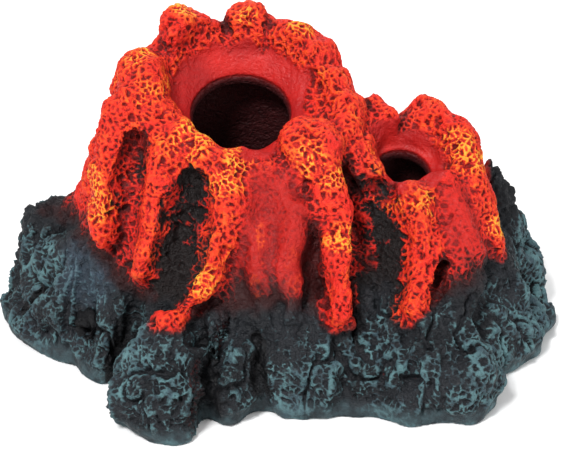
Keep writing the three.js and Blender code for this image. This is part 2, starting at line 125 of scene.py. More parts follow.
# Lava that has run down the walls: x, y, z, radius along each flow.
FLOWS = [
    [(-40, 1, 77, 6.5), (-44.5, -1, 65, 6.4), (-50, -4, 55, 6.0), (-53.5, -6, 46, 4.6)],
    [(-39, -5, 77, 6.5), (-43.5, -12, 70, 6.5), (-47, -18, 59, 6.0), (-48.5, -23, 49, 5.0),
     (-49.5, -26, 41, 3.4)],
    [(-33, -20, 62, 5.0), (-35, -26, 53, 4.2), (-36.5, -31, 44, 4.0), (-38, -35, 35, 3.0)],
    [(-15, -22, 59.5, 5.4), (-15, -27, 54, 5.0), (-16, -30.5, 47, 4.8), (-20, -37, 38, 5.0),
     (-26, -44, 31, 4.4), (-31, -49, 26, 3.2)],
    [(10, -19, 60, 6.2), (13, -26, 50, 5.8), (15.5, -31, 42, 5.6), (17, -37, 33, 5.4),
     (16, -43, 25, 4.0)],
    [(37, -19, 49, 4.8), (38.5, -24.5, 44, 4.4), (40, -29, 38, 4.8), (39, -34, 32, 5.0),
     (34, -41, 26, 4.0)],
    [(51, -8, 50, 5.4), (54.5, -12, 44, 4.6), (58, -15, 38, 4.2), (61, -17, 33, 3.2)],
    [(24, -13, 56, 3.6), (28, -16.5, 51, 2.8), (32, -19.5, 46.5, 2.2)],
    [(-22, 20, 78, 5), (-26, 29, 62, 5), (-29, 35, 46, 5.4), (-31, 42, 28, 6)],
    [(-6, 23, 76, 4), (-6, 30, 60, 4.4), (-5, 35, 46, 4)],
    [(6, 18, 74, 5), (10, 27, 58, 5), (12, 33, 42, 5)],
    [(42, 12, 54, 5), (45, 19, 42, 5), (46, 26, 28, 6)],
]
FRONT_FLOWS = FLOWS[:8]  # the last four run down the back

# Softer streaks: two in the smooth front face, then one between the side flows.
STREAKS = [
    [(-6, -30.5, 46, 2.2), (-6, -35.5, 38, 2.5), (-6.2, -40, 30, 2.4), (-6.5, -43, 24, 1.6)],
    [(3, -29, 50, 3), (3, -33.5, 42, 3.4), (2.6, -38, 34, 3.4), (2, -42.5, 26, 2.4)],
    [(46, -15, 49, 5), (48, -20, 41, 6), (49, -26, 34, 7), (49, -32, 27, 6.5)],
]

# Plan of the rock on the tank floor from the left tip round by the front: x, y, and the height at
# which that part has drawn in to half its reach.
OUTLINE = [
    (-84, 0, 18), (-81, -10, 22), (-72, -21, 29), (-56, -28, 37), (-46, -34, 33), (-46, -48, 27),
    (-43, -57, 27), (-32, -65, 29), (-25, -66, 28), (-21, -57, 22), (-12, -58, 28), (-5, -52, 32),
    (8, -56, 29), (17, -54, 26), (26, -55, 20), (36, -58, 28), (52, -57, 31), (58, -52, 29),
    (60, -42, 29), (62, -34, 37), (69, -28, 30), (76, -20, 22), (81, -8, 14), (80, 3, 21),
    (73, 14, 44), (68, 27, 46), (55, 34, 36), (42, 36, 42), (28, 44, 28), (8, 49, 31),
    (-12, 46, 40), (-30, 50, 28), (-48, 43, 41), (-60, 35, 33), (-73, 26, 38), (-80, 13, 40),
]

# Bosses, knobs and blocks of rock: x, y, z, radius along each.
ROCKS = [
    [(-71.5, 9.5, 30.5, 3.6), (-69, 8, 22, 9), (-66, 4, 12, 13)],
    [(-60, 6, 22, 14), (-62, 0, 12, 16)],
    [(-55, -13, 25, 9), (-58, -15, 14, 12)],
    [(-31, -43.5, 25, 6), (-32, -49, 16, 10.5), (-33, -54, 7, 12)],
    [(-6, -38, 20, 7), (-6, -43, 10, 10)],
    [(10, -38, 19, 8), (11, -43, 9, 11)],
    [(45, -38, 20, 8), (46, -44, 10, 12)],
    [(61.5, 12, 41, 4.2), (62, 12, 32, 7), (63, 10, 20, 12)],
    [(61, -14, 20, 9), (65, -15, 8, 11)],
    [(66, 14, 18, 9), (72, 6, 8, 8)],
    [(29, 22, 14, 18), (30, 26, 8, 14)],
    [(-32, 26, 16, 19), (-36, 32, 8, 14)],
    [(-58, 20, 14, 16), (-62, 18, 8, 14)],
]

# Hollows: the arched niche, the ravine between the cones, the dark dips beside the flows, and the
# clefts in the front rock.
NICHE = [(-23.5, -25, 57, 3.8), (-25.5, -31, 50, 6.8), (-27, -37, 41, 7.4), (-31, -42, 33, 6.0),
         (-36, -43, 27, 4.0)]
RAVINE = [(26.5, -20, 51, 4.2), (26, -28, 44, 7.4), (26, -36.5, 34, 7.8), (26, -46, 25, 5.5),
          (26, -56, 14, 4), (26, -60, 2, 4)]
DIPS = [
    [(-41, -17, 66, 2.5), (-42, -25, 56, 3.8), (-43, -31, 46, 3.6), (-43, -35, 38, 2.2)],
    [(-52, -15, 52, 1.2), (-54, -18, 45, 2.0), (-56, -20, 38, 1.6)],
    [(45, -17, 45, 1.6), (44, -27, 37, 2.0), (42, -36, 30, 1.6)],
]
CLEFTS = [
    [(-20, -58, 0, 2.4), (-20, -53, 12, 3.0), (-22, -48, 22, 2.6), (-24, -45, 28, 1.6)],
    [(-5, -55, 0, 2.2), (-6, -51, 10, 1.8), (-7, -46, 20, 1.0)],
    [(17, -57, 0, 2.2), (18, -52, 12, 2.4), (19, -46, 24, 2.0)],
    [(35, -60, 6, 1.4), (34, -54, 16, 2.2), (33, -46, 25, 1.4)],
    [(59, -44, 0, 2.4), (58, -40, 14, 2.4), (56, -36, 25, 1.6)],
    [(-46, -38, 0, 2.6), (-43, -37, 14, 3.0), (-41, -36, 26, 2.4)],
]

# Odd holes in the rock: x, y, z, radius.
ROCK_HOLES = [
    (-33.5, -64, 17, 2.6), (14.5, -49, 25.5, 2.4), (78.5, -12, 6, 2.6), (12, -58, 12, 2.2),
    (-71, -15, 14, 2.2), (46, -58, 18, 2.0), (-54, -27, 12, 2.4),
]

# The mouse-hole at the back that the airline comes in by.
NOTCH = {"x": 12, "half_width": 7, "height": 21.5, "front": 14}

OUTLINE_STEPS = 720  # points along the smoothed outline
PROBE_MM = 0.35  # how far from a point its slope is felt for

# ------------------------------------------------------------------ distance fields


def smooth_union(a, b, blend):
    """a joined to b, with a fillet about blend wide."""
    mix = np.clip(0.5 + 0.5 * (b - a) / blend, 0, 1)
    return b * (1 - mix) + a * mix - blend * mix * (1 - mix)


def smooth_cut(a, b, blend):
    """a with b taken out of it."""
    return -smooth_union(-a, b, blend)


def round_chain(p, points):
    """Distance to a chain of round sections x, y, z, radius."""
    nearest = np.full(len(p), 1e9)
    for start, end in zip(points[:-1], points[1:]):
        a, b = np.array(start[:3], float), np.array(end[:3], float)
        along = b - a
        share = np.clip(((p - a) @ along) / (along @ along), 0, 1)
        away = np.linalg.norm(p - a - share[:, None] * along, axis=1)
        nearest = np.minimum(nearest, away - (start[3] + share * (end[3] - start[3])))
    return nearest


def blend_in(field, p, points, blend, join):
    """Join or cut a chain into a field, working only on the points near it."""
    spine = np.array(points, float)
    reach = spine[:, 3].max() + blend + 2.5
    low, high = spine[:, :3].min(axis=0) - reach, spine[:, :3].max(axis=0) + reach
    near = np.all((p > low) & (p < high), axis=1)
    if near.any():
        field[near] = join(field[near], round_chain(p[near], points), blend)


def cone_field(p, walls, axis):
    """A cone with an oval section that changes with height."""
    z, *reach = np.array(walls, float).T
    left, right, front, back = (np.interp(p[:, 2], z, r) for r in reach)
    x, y = p[:, 0] - axis[0], p[:, 1] - axis[1]
    across, along = np.where(x < 0, left, right), np.where(y < 0, front, back)
    size = np.sqrt((x / across) ** 2 + (y / along) ** 2) + 1e-6
    steep = np.sqrt((x / across**2) ** 2 + (y / along**2) ** 2) + 1e-6
    return 0.92 * (size - 1) * size / steep  # scaled down, as this estimate can overstate a distance


def tilted(p, at, tilt):
    """Height along an axis that leans to the front by tilt degrees, and distance from it."""
    lean = math.radians(tilt)
    axis = np.array([0, -math.sin(lean), math.cos(lean)])
    offset = p - np.array(at, float)
    height = offset @ axis
    return height, np.linalg.norm(offset - height[:, None] * axis, axis=1)


def crater_field(p, vent, funnel):
    """The open funnel above a vent."""
    height, radius = tilted(p, vent["at"], vent["tilt"])
    profile = np.array(funnel, float)
    wall = np.interp(height, profile[:, 0], profile[:, 1])
    return np.maximum((radius - wall) * 0.8, profile[0, 0] - height)


def outline_curve():
    """The outline as angles, reaches and shoulder heights about the skirt's centre."""
    knots = np.array(OUTLINE, float)
    total = len(knots)
    at = np.linspace(0, total, OUTLINE_STEPS, endpoint=False)
    which = at.astype(int)
    t = (at - which)[:, None]
    before, here, after, beyond = (knots[(which + k) % total] for k in (-1, 0, 1, 2))
    curve = 0.5 * (
        2 * here + (after - before) * t
        + (2 * before - 5 * here + 4 * after - beyond) * t**2
        + (3 * here - before - 3 * after + beyond) * t**3
    )
    x, y = curve[:, 0] - SKIRT_CENTRE[0], curve[:, 1] - SKIRT_CENTRE[1]
    angle = np.arctan2(y, x)
    order = np.argsort(angle)
    return angle[order], np.hypot(x, y)[order], curve[order, 2]


OUTLINE_ANGLE, OUTLINE_REACH, OUTLINE_SHOULDER = outline_curve()


def skirt_field(p, inset=0.0, lower=0.0):
    """The rock skirt, drawn in by inset at the sides and lowered."""
    x, y = p[:, 0] - SKIRT_CENTRE[0], p[:, 1] - SKIRT_CENTRE[1]
    angle = np.arctan2(y, x)
    reach = np.interp(angle, OUTLINE_ANGLE, OUTLINE_REACH, period=2 * np.pi)
    shoulder = np.interp(angle, OUTLINE_ANGLE, OUTLINE_SHOULDER, period=2 * np.pi)
    height = np.maximum(p[:, 2] + lower, 0)
    drawn = np.maximum(1 - 0.5 * (height / shoulder) ** 3.4, -1)
    tucked = 1.2 * np.clip(1 - height / 2.5, 0, 1) ** 2  # the casting's rolled lower edge
    return 0.78 * (np.hypot(x, y) - reach * drawn + inset + tucked)


def add_lumps(field, p, lumps, blend):
    """Join round lumps to a field, each on a short foot."""
    for lump in lumps:
        blend_in(field, p, [lump, (lump[0], lump[1], lump[2] - 3.0, lump[3])], blend, smooth_union)


def wobbled(p):
    """The same points moved a little, so nothing round stays perfectly round."""
    x, y, z = p.T
    return p + np.stack([
        0.8 * np.sin(0.31 * y + 0.9 * np.sin(0.17 * z)) + 0.35 * np.sin(0.53 * z + 0.7 * x + 2.0),
        0.8 * np.sin(0.37 * x + 1.1 * np.sin(0.21 * z) + 1.0) + 0.35 * np.sin(0.41 * z - 0.6 * y),
        0.8 * np.sin(0.36 * x + 0.3 * y) + 0.35 * np.sin(0.57 * y - 0.7 * x + 1.7),
    ], axis=1)


def cut_above(field, p, at, tilt, blend):
    """Cut a field off above a leaning plane."""
    height, _ = tilted(p, at, tilt)
    return smooth_cut(field, -height, blend)


def lava_field(p, unmoved):
    """Both cones with their rims, lumps and flows, before the rock joins them."""
    bowls = crater_field(unmoved, MAIN_VENT, MAIN_FUNNEL)
    main = cut_above(cone_field(p, MAIN_WALLS, MAIN_AXIS), p, MAIN_RIM["at"], MAIN_RIM["tilt"], 4.0)
    add_lumps(main, p, MAIN_BACK_LUMPS, 2.6)
    main = smooth_cut(main, bowls, 1.4)
    add_lumps(main, p, MAIN_FRONT_LUMPS, 3.2)
    side = cut_above(cone_field(p, SIDE_WALLS, SIDE_AXIS), p, SIDE_RIM["at"], SIDE_RIM["tilt"], 4.0)
    add_lumps(side, p, SIDE_BACK_LUMPS, 2.4)
    side = smooth_cut(side, crater_field(unmoved, SIDE_VENT, SIDE_FUNNEL), 1.2)
    add_lumps(side, p, SIDE_FRONT_LUMPS, 3.0)
    side = smooth_cut(side, bowls, 1.4)
    field = smooth_union(main, side, 2.6)
    for flow in FLOWS:
        blend_in(field, p, flow, 4.0, smooth_union)
    for streak in STREAKS:
        blend_in(field, p, streak, 5.0, smooth_union)
    return field


def rock_field(p):
    """The skirt with its bosses and blocks."""
    field = skirt_field(p)
    for rock in ROCKS:
        blend_in(field, p, rock, 5.0, smooth_union)
    return field


def outer_field(p):
    """The casting's outside, solid all through."""
    moved = wobbled(p)
    field = smooth_union(lava_field(moved, p), rock_field(moved), 4.0)
    blend_in(field, p, NICHE, 2.0, smooth_cut)
    blend_in(field, p, RAVINE, 3.0, smooth_cut)
    for dip in DIPS:
        blend_in(field, p, dip, 3.0, smooth_cut)
    for cleft in CLEFTS:
        blend_in(field, p, cleft, 3.5, smooth_cut)
    for hole in ROCK_HOLES:
        blend_in(field, p, [hole, hole[:2] + (hole[2] + 0.4, hole[3])], 1.0, smooth_cut)
    return field


def cone_hollow(p, walls, axis, wall, vent, blend):
    """The hollow in one cone, up to the ceiling under its crater."""
    narrowed = [(z - 3, *(r - wall for r in reach)) for z, *reach in walls]
    ceiling = np.subtract(vent["at"], (0, 0, CEILING))
    return cut_above(cone_field(p, narrowed, axis), p, ceiling, vent["tilt"], blend)


def hollow_field(p):
    """The open inside of the casting."""
    main = cone_hollow(p, MAIN_WALLS, MAIN_AXIS, MAIN_WALL, MAIN_VENT, 3.0)
    side = cone_hollow(p, SIDE_WALLS, SIDE_AXIS, SIDE_WALL, SIDE_VENT, 2.5)
    skirt = np.maximum(skirt_field(p, WALL, 5.0), p[:, 2] - SKIRT_HOLLOW)
    return smooth_union(smooth_union(main, side, 3.0), skirt, 3.0)


def notch_field(p):
    """The mouse-hole: a round arch that runs out of the back."""
    x = np.abs(p[:, 0] - NOTCH["x"])
    spring = NOTCH["height"] - NOTCH["half_width"]
    arch = np.where(p[:, 2] > spring, np.hypot(x, p[:, 2] - spring), x) - NOTCH["half_width"]
    return np.maximum(arch, NOTCH["front"] - p[:, 1])


def vent_field(p, vent):
    """The leaning bore through a crater's floor."""
    height, radius = tilted(p, vent["at"], vent["tilt"])
    ends = np.maximum(height - 1.0, -VENT_DEPTH - height)
    return np.maximum(radius - vent["radius"] + 0.6, ends)


def shell_field(p):
    """The whole casting, hollow and open, cut off flat at the tank floor."""
    outside = outer_field(p)
    inside = np.maximum(hollow_field(p), outside + THINNEST)
    field = smooth_cut(outside, inside, 1.2)
    field = smooth_cut(field, notch_field(p), 1.0)
    for vent in (MAIN_VENT, SIDE_VENT):
        field = smooth_cut(field, vent_field(p, vent), 1.0)
    return np.maximum(field, -p[:, 2])


# ------------------------------------------------------------------ noise


def scatter(cells, seed):
    """A number from 0 to 1 for each whole-number cell."""
    c = cells.astype(np.int64)
    h = c[..., 0] * 73856093 ^ c[..., 1] * 19349663 ^ c[..., 2] * 83492791 ^ seed * 2654435761
    h &= 0xFFFFFFFF
    h = ((h ^ (h >> 15)) * 0x2C1B3C6D) & 0xFFFFFFFF
    h = ((h ^ (h >> 12)) * 0x297A2D39) & 0xFFFFFFFF
    return (h ^ (h >> 15)) / 4294967295.0


def value_noise(p, seed):
    """Smooth noise from 0 to 1, with one random value at each whole-number corner."""
    cell = np.floor(p)
    t = p - cell
    t = t * t * (3 - 2 * t)
    total = 0
    for dx in (0, 1):
        for dy in (0, 1):
            for dz in (0, 1):
                weight = (
                    (t[:, 0] if dx else 1 - t[:, 0])
                    * (t[:, 1] if dy else 1 - t[:, 1])
                    * (t[:, 2] if dz else 1 - t[:, 2])
                )
                total = total + weight * scatter(cell + (dx, dy, dz), seed)
    return total


def layered_noise(p, seed, layers=3):
    """Noise from -1 to 1, each layer twice as fine and half as strong as the one before."""
    total, weight = 0, 1
    for layer in range(layers):
        total = total + weight * (value_noise(p * 2**layer, seed + layer) * 2 - 1)
        weight *= 0.5
    return total / (2 - 2 ** (1 - layers))


def bubbles(p, seed):
    """Cells like burst bubbles: how far each point is from the nearest wall between cells, from 0
    on the wall, and a random number for its cell."""
    cell = np.floor(p)
    first = np.full(len(p), 9.0)
    second = np.full(len(p), 9.0)
    owner = np.zeros(len(p))
    for dx in (-1, 0, 1):
        for dy in (-1, 0, 1):
            for dz in (-1, 0, 1):
                near = cell + (dx, dy, dz)
                heart = near + np.stack([scatter(near, seed + k) for k in (0, 1, 2)], axis=1)
                away = np.linalg.norm(p - heart, axis=1)
                closer = away < first
                second = np.where(closer, first, np.minimum(second, away))
                owner = np.where(closer, scatter(near, seed + 3), owner)
                first = np.where(closer, away, first)
    return second - first, owner


# ------------------------------------------------------------------ meshing


def steps(value, low, high):
    """0 below low, 1 above high, smooth between."""
    t = np.clip((value - low) / (high - low), 0, 1)
    return t * t * (3 - 2 * t)


def sample_grid(field, low, high, step):
    """Field values on a grid. Far from the surface they are only roughly right."""
    count = np.ceil((high - low) / step).astype(int) + 1
    blocks = np.ceil(count / BLOCK).astype(int)
    centres = np.stack(np.meshgrid(*(np.arange(n) for n in blocks), indexing="ij"), -1)
    centres = low + (centres.reshape(-1, 3) * BLOCK + (BLOCK - 1) / 2) * step
    rough = field(centres)
    values = rough.reshape(blocks)
    for axis in range(3):
        values = np.repeat(values, BLOCK, axis)
    inner = np.stack(np.meshgrid(*(np.arange(BLOCK),) * 3, indexing="ij"), -1).reshape(-1, 3)
    # half a block's diagonal, and some room because a field isn't an exact distance
    close = np.flatnonzero(np.abs(rough) < BLOCK * step * 0.87 + 2.5)
    corner = np.stack(np.unravel_index(close, blocks), -1) * BLOCK
    for start in range(0, len(close), BATCH):
        index = (corner[start:start + BATCH, None, :] + inner).reshape(-1, 3)
        values[tuple(index.T)] = field(low + index * step)
    return values


def surface_nets(values, low, step):
    """Quads of the surface where the values change sign, with one point in each crossed cell."""
    inside = values < 0
    corners = [(i, j, k) for i in (0, 1) for j in (0, 1) for k in (0, 1)]
    size = np.array(values.shape) - 1
    view = [values[i:size[0] + i, j:size[1] + j, k:size[2] + k] for i, j, k in corners]
    count = sum((v < 0).astype(np.int8) for v in view)
    cells = np.argwhere((count > 0) & (count < 8))
    at = tuple(cells.T)
    number = np.full(size, -1, dtype=np.int64)
    number[at] = np.arange(len(cells))
    corner_values = np.stack([v[at] for v in view], axis=1)
    total, crossings = np.zeros((len(cells), 3)), np.zeros(len(cells))
    for a in range(8):
        for b in range(a + 1, 8):
            apart = np.array(corners[b]) - np.array(corners[a])
            if np.abs(apart).sum() != 1:
                continue
            va, vb = corner_values[:, a], corner_values[:, b]
            crossed = (va < 0) != (vb < 0)
            share = np.where(crossed, va / np.where(crossed, va - vb, 1), 0)
            spot = np.array(corners[a]) + share[:, None] * apart
            total[crossed] += spot[crossed]
            crossings[crossed] += 1
    points = low + (cells + total / crossings[:, None]) * step
    quads = []
    for axis in range(3):
        u, v = (axis + 1) % 3, (axis + 2) % 3
        here = [slice(1, -1)] * 3
        ahead = [slice(1, -1)] * 3
        here[axis], ahead[axis] = slice(0, -1), slice(1, None)
        one, two = inside[tuple(here)], inside[tuple(ahead)]
        for rising in (True, False):
            edge = np.argwhere((one & ~two) if rising else (~one & two))
            edge[:, u] += 1
            edge[:, v] += 1
            loop = []
            for du, dv in ((1, 1), (0, 1), (0, 0), (1, 0)):
                cell = edge.copy()
                cell[:, u] -= du
                cell[:, v] -= dv
                loop.append(number[tuple(cell.T)])
            quad = np.stack(loop, axis=1)
            quads.append(quad if rising else quad[:, ::-1])
    return points, np.concatenate(quads)


def gradient(field, p):
    """Unit normals and the field's slope, from four samples round each point."""
    corners = np.array([(1, -1, -1), (-1, -1, 1), (-1, 1, -1), (1, 1, 1)], float)
    slope = sum(c * field(p + c * PROBE_MM)[:, None] for c in corners) / (4 * PROBE_MM)
    length = np.linalg.norm(slope, axis=1, keepdims=True) + 1e-9
    return slope / length, length[:, 0]


# ------------------------------------------------------------------ masks for the paint


def near_chain(p, chains, reach):
    """1 on a chain's surface, fading to 0 at reach millimetres from it."""
    nearest = np.full(len(p), 1e3)
    for chain in chains:
        nearest = np.minimum(nearest, round_chain(p, chain))
    return 1 - steps(nearest, 0.3, reach)


def near_lumps(p, lumps, reach):
    """The same for round lumps."""
    nearest = np.full(len(p), 1e3)
    for x, y, z, radius in lumps:
        nearest = np.minimum(nearest, np.linalg.norm(p - np.array([x, y, z]), axis=1) - radius)
    return 1 - steps(nearest, 0.3, reach)


def spot(p, x, y, z, radius):
    """1 in the middle of a soft round patch, 0 at its edge."""
    away = np.linalg.norm(p - np.array([x, y, z], float), axis=1)
    return 1 - steps(away, 0.35 * radius, radius)


# Soot and shade painted into the hollows: x, y, z, radius.
SOOT_AND_SHADE_SPOTS = [
    (-41, -20, 62, 8), (-43, -27, 52, 8),
    (-27, -28, 54, 9), (-29, -34, 45, 11), (-31, -38, 36, 10), (26, -18, 52, 10),
    (25.5, -28, 44, 14), (26, -38, 34, 14), (33, -16, 50, 7), (-56, -20, 44, 7),
]

# Where the lava paint is brightest yellow.
GLOW_SPOTS = [
    (-24, -18, 66, 11), (-13, -22, 62, 9), (-52, -22, 56, 8), (-50, -25, 50, 8),
    (-15, -27, 58, 8), (8, -20, 62, 11), (16, -33, 44, 8), (39, -22, 49, 7), (54, -8, 54, 8),
    (60, -16, 38, 6), (-22, -42, 36, 8), (-40, 0, 84, 8), (-28, 12, 92, 7), (6, 12, 89, 7),
    (-10, 14, 92, 6), (50, -6, 60, 8), (14, -24, 58, 8),
]


def bowl_masks(p, fine):
    """The smooth funnels of both craters, and painted shade down the bores of their vents."""
    bowl, vent_shade = np.zeros(len(p)), np.zeros(len(p))
    for vent, funnel, top in ((MAIN_VENT, MAIN_FUNNEL, 7.5), (SIDE_VENT, SIDE_FUNNEL, 10)):
        height, radius = tilted(p, vent["at"], vent["tilt"])
        inside = 1 - steps(crater_field(p, vent, funnel), 0.5, 1.4)
        inside *= (radius < 23) & (height > -20)
        inside *= 1 - steps(height + 2.5 * fine, top - 3, top)
        bowl = np.maximum(bowl, inside)
        # painted shade down the bore of each vent
        bore = 1 - steps(np.abs(vent_field(p, vent)), 0.8, 1.6)
        vent_shade = np.maximum(vent_shade, bore * steps(-height, -0.2, 0.9))
    front_lump = near_lumps(p, MAIN_FRONT_LUMPS + SIDE_FRONT_LUMPS, 1.5)
    return bowl * (1 - 0.8 * front_lump), vent_shade


def paint_edge(p, flow, wander, fine):
    """The height that lava paint comes down to: lower on the flows, higher at the ends and behind."""
    edge = 27 + 4.5 * wander + 2.5 * fine - 4.0 * flow
    edge += 7.0 * steps(-p[:, 0], 38, 56) + 7.0 * steps(p[:, 1], 5, 25)
    edge += 5.0 * steps(p[:, 0], 40, 60)
    return edge


def cavity_shade_amount(p, normal):
    """How shut in a point is, for the painted shade in hollows: little room straight out from the
    surface means a hollow.
    """
    near_room = shell_field(p + 2.2 * normal) / 2.2
    far_room = shell_field(p + 6.5 * normal) / 6.5
    return np.clip(1.15 - 0.55 * near_room - 0.75 * far_room, 0, 1)


def soot_and_shade_mask(p, flow, wander, fine):
    """Soot and painted shade in the niche, the ravine and the soot and shade spots, thinner on the
    flows.
    """
    soot_and_shade = np.zeros(len(p))
    for mark in SOOT_AND_SHADE_SPOTS:
        soot_and_shade = np.maximum(soot_and_shade, spot(p, *mark))
    soot_and_shade *= 1 - 0.8 * flow
    niche = np.maximum(near_chain(p, [NICHE], 2.0), near_chain(p, [RAVINE], 2.4))
    soot_and_shade = np.maximum(soot_and_shade, niche * (1 - 0.5 * flow))
    return np.clip(soot_and_shade * (1 + 0.4 * wander) + 0.6 * fine * (soot_and_shade > 0.02), 0, 1)


def glow_mask(p, flow, lump, bowl, wander):
    """Where orange and yellow are brushed on: flows, lumps, glow spots and the two front streaks."""
    glow = 0.30 * lump + 0.30 * flow
    for mark in GLOW_SPOTS:
        glow = np.maximum(glow, spot(p, *mark) * np.maximum(flow, lump))
    glow = np.clip(glow + 0.25 * wander * (glow > 0.05), 0, 1) * (1 - bowl)
    narrow_streak = 0.8 * near_chain(p, STREAKS[:1], 0.9)
    wide_streak = 0.45 * near_chain(p, STREAKS[1:2], 1.2)
    streak = np.maximum(narrow_streak, wide_streak)
    return np.maximum(glow, streak * steps(p[:, 2], 24, 31))


def calm_mask(p, flow, bowl, lip):
    """Where the casting is smooth: the front face, the side cone's cheek, the funnels and the lip."""
    front = steps(-p[:, 1], 20, 27) * (1 - steps(np.abs(p[:, 0] - 1), 11, 16))
    front *= steps(p[:, 2], 22, 30) * (1 - flow)
    cheek = spot(p, 48, -22, 42, 17) * (1 - flow)
    calm = np.clip(np.maximum(0.7 * front, 0.55 * cheek), 0, 1)
    return np.maximum(calm, np.maximum(0.92 * bowl, 0.88 * lip))


def masks_at(p, normal):
    """Named masks from 0 to 1 that say how each point is painted and how rough it is."""
    wander = layered_noise(p / 13, 11)
    fine = layered_noise(p / 3.2, 17)
    flow = near_chain(p, FRONT_FLOWS, 3.0)
    lumps = MAIN_BACK_LUMPS + MAIN_FRONT_LUMPS + SIDE_BACK_LUMPS + SIDE_FRONT_LUMPS
    lump = near_lumps(p, lumps, 3.5)
    bowl, vent_shade = bowl_masks(p, fine)
    edge = paint_edge(p, flow, wander, fine)
    spur = steps(p[:, 0], 59.5, 62.5) * steps(p[:, 1], -8, 2)  # bare rock at the right end
    lava = steps(p[:, 2], edge - 2.0, edge + 3.0) * (1 - spur)
    lip = 1 - steps(p[:, 2], 2.5, 6.0)
    return {
        "lava": lava,
        # soot, and painted shade in the niche and the ravine
        "soot_and_shade": soot_and_shade_mask(p, flow, wander, fine),
        "glow": glow_mask(p, flow, lump, bowl, wander),
        "bowl": bowl,
        # painted shade down the vent bores
        "vent_shade": vent_shade,
        "calm": calm_mask(p, flow, bowl, lip),
        "slate": spot(p, -55, -24, 30, 15) * (1 - lava),
        "lip": lip,
        # painted shade where the surface is shut in
        "hollow": cavity_shade_amount(p, normal),
        "scorch": (1 - steps(p[:, 2], edge - 1, edge + 13)) * (1 - 0.65 * flow),
        "ash": steps(p[:, 2], edge - 9, edge - 1),
    }


def roughen(p, masks):
    """Pits, lumps and chisel marks: how far each point moves out along its normal."""
    warp = np.stack([layered_noise(p / 3.0, s, 2) for s in (21, 22, 23)], axis=1)
    fine_wall, fine_cell = bubbles((p + 1.2 * warp) / 1.75, 31)
    wide_wall, wide_cell = bubbles((p + 1.8 * warp) / 4.4, 41)
    pit = steps(fine_wall, 0.0, 0.5) * (0.45 + 0.55 * steps(fine_cell, 0.1, 0.7))
    crater = steps(wide_wall, 0.08, 0.7) * steps(wide_cell, 0.35, 0.8)
    lumps = layered_noise(p / 7.5, 51, 3)
    rock = 1 - masks["lava"]
    stretched = p * np.array([1, 1, 0.4])
    chisel = 0.5 - np.abs(layered_noise(stretched / 8.0, 61, 2))
    chip = 0.5 - np.abs(layered_noise(stretched / 3.6, 71, 2))
    amount = 1 - masks["calm"]
    cracks = 1 - steps(np.abs(layered_noise(stretched / 11.0, 81, 3)), 0.0, 0.10)
    shift = -(1.0 * pit + 1.3 * crater) * amount + 1.1 * lumps * (0.12 + 0.88 * amount)
    shift += rock * amount * (4.0 * chisel + 1.6 * chip + 0.8 * lumps - 2.0 * cracks - 1.2)
    return shift - 0.10 * masks["calm"] * pit


def neighbour_means(values, quads, rounds):
    """Values evened out between neighbouring points, again and again."""
    a = np.concatenate([quads[:, k] for k in range(4)])
    b = np.concatenate([quads[:, (k + 1) % 4] for k in range(4)])
    count = np.bincount(a, minlength=len(values)).astype(float)
    columns = [values[:, k] for k in range(values.shape[1])]
    for _ in range(rounds):
        columns = [
            0.5 * column + 0.5 * np.bincount(a, column[b], len(column)) / count
            for column in columns
        ]
    return np.stack(columns, axis=1)


def crests(p, normal, quads):
    """1 on edges and ridges, 0 in pits and grooves."""
    rounds = max(1, round(1.0 / GRID_MM**2))
    near = neighbour_means(p, quads, rounds)
    far = neighbour_means(near, quads, 6 * rounds)
    small = ((p - near) * normal).sum(axis=1)
    large = ((p - far) * normal).sum(axis=1)
    return np.clip(0.45 + 1.5 * small + 0.55 * large, 0, 1)


# ------------------------------------------------------------------ blender helpers


def to_frame(points):
    """Sculpting millimetres to metres in the frame."""
    return (points + FRAME_SHIFT) * MM


def mesh_object(name, points, faces, attributes):
    """A smooth-shaded object, with each attribute kept as a value at every point."""
    mesh = bpy.data.meshes.new(name)
    mesh.vertices.add(len(points))
    mesh.vertices.foreach_set("co", np.ascontiguousarray(points, dtype=np.float32).ravel())
    sides = faces.shape[1]
    mesh.loops.add(faces.size)
    mesh.loops.foreach_set("vertex_index", faces.astype(np.int32).ravel())
    mesh.polygons.add(len(faces))
    mesh.polygons.foreach_set("loop_start", np.arange(0, faces.size, sides, dtype=np.int32))
    mesh.update(calc_edges=True)
    mesh.shade_smooth()
    for key, values in attributes.items():
        layer = mesh.attributes.new(key, "FLOAT", "POINT")
        layer.data.foreach_set("value", values.astype(np.float32))
    piece = bpy.data.objects.new(name, mesh)
    bpy.context.scene.collection.objects.link(piece)
    return piece


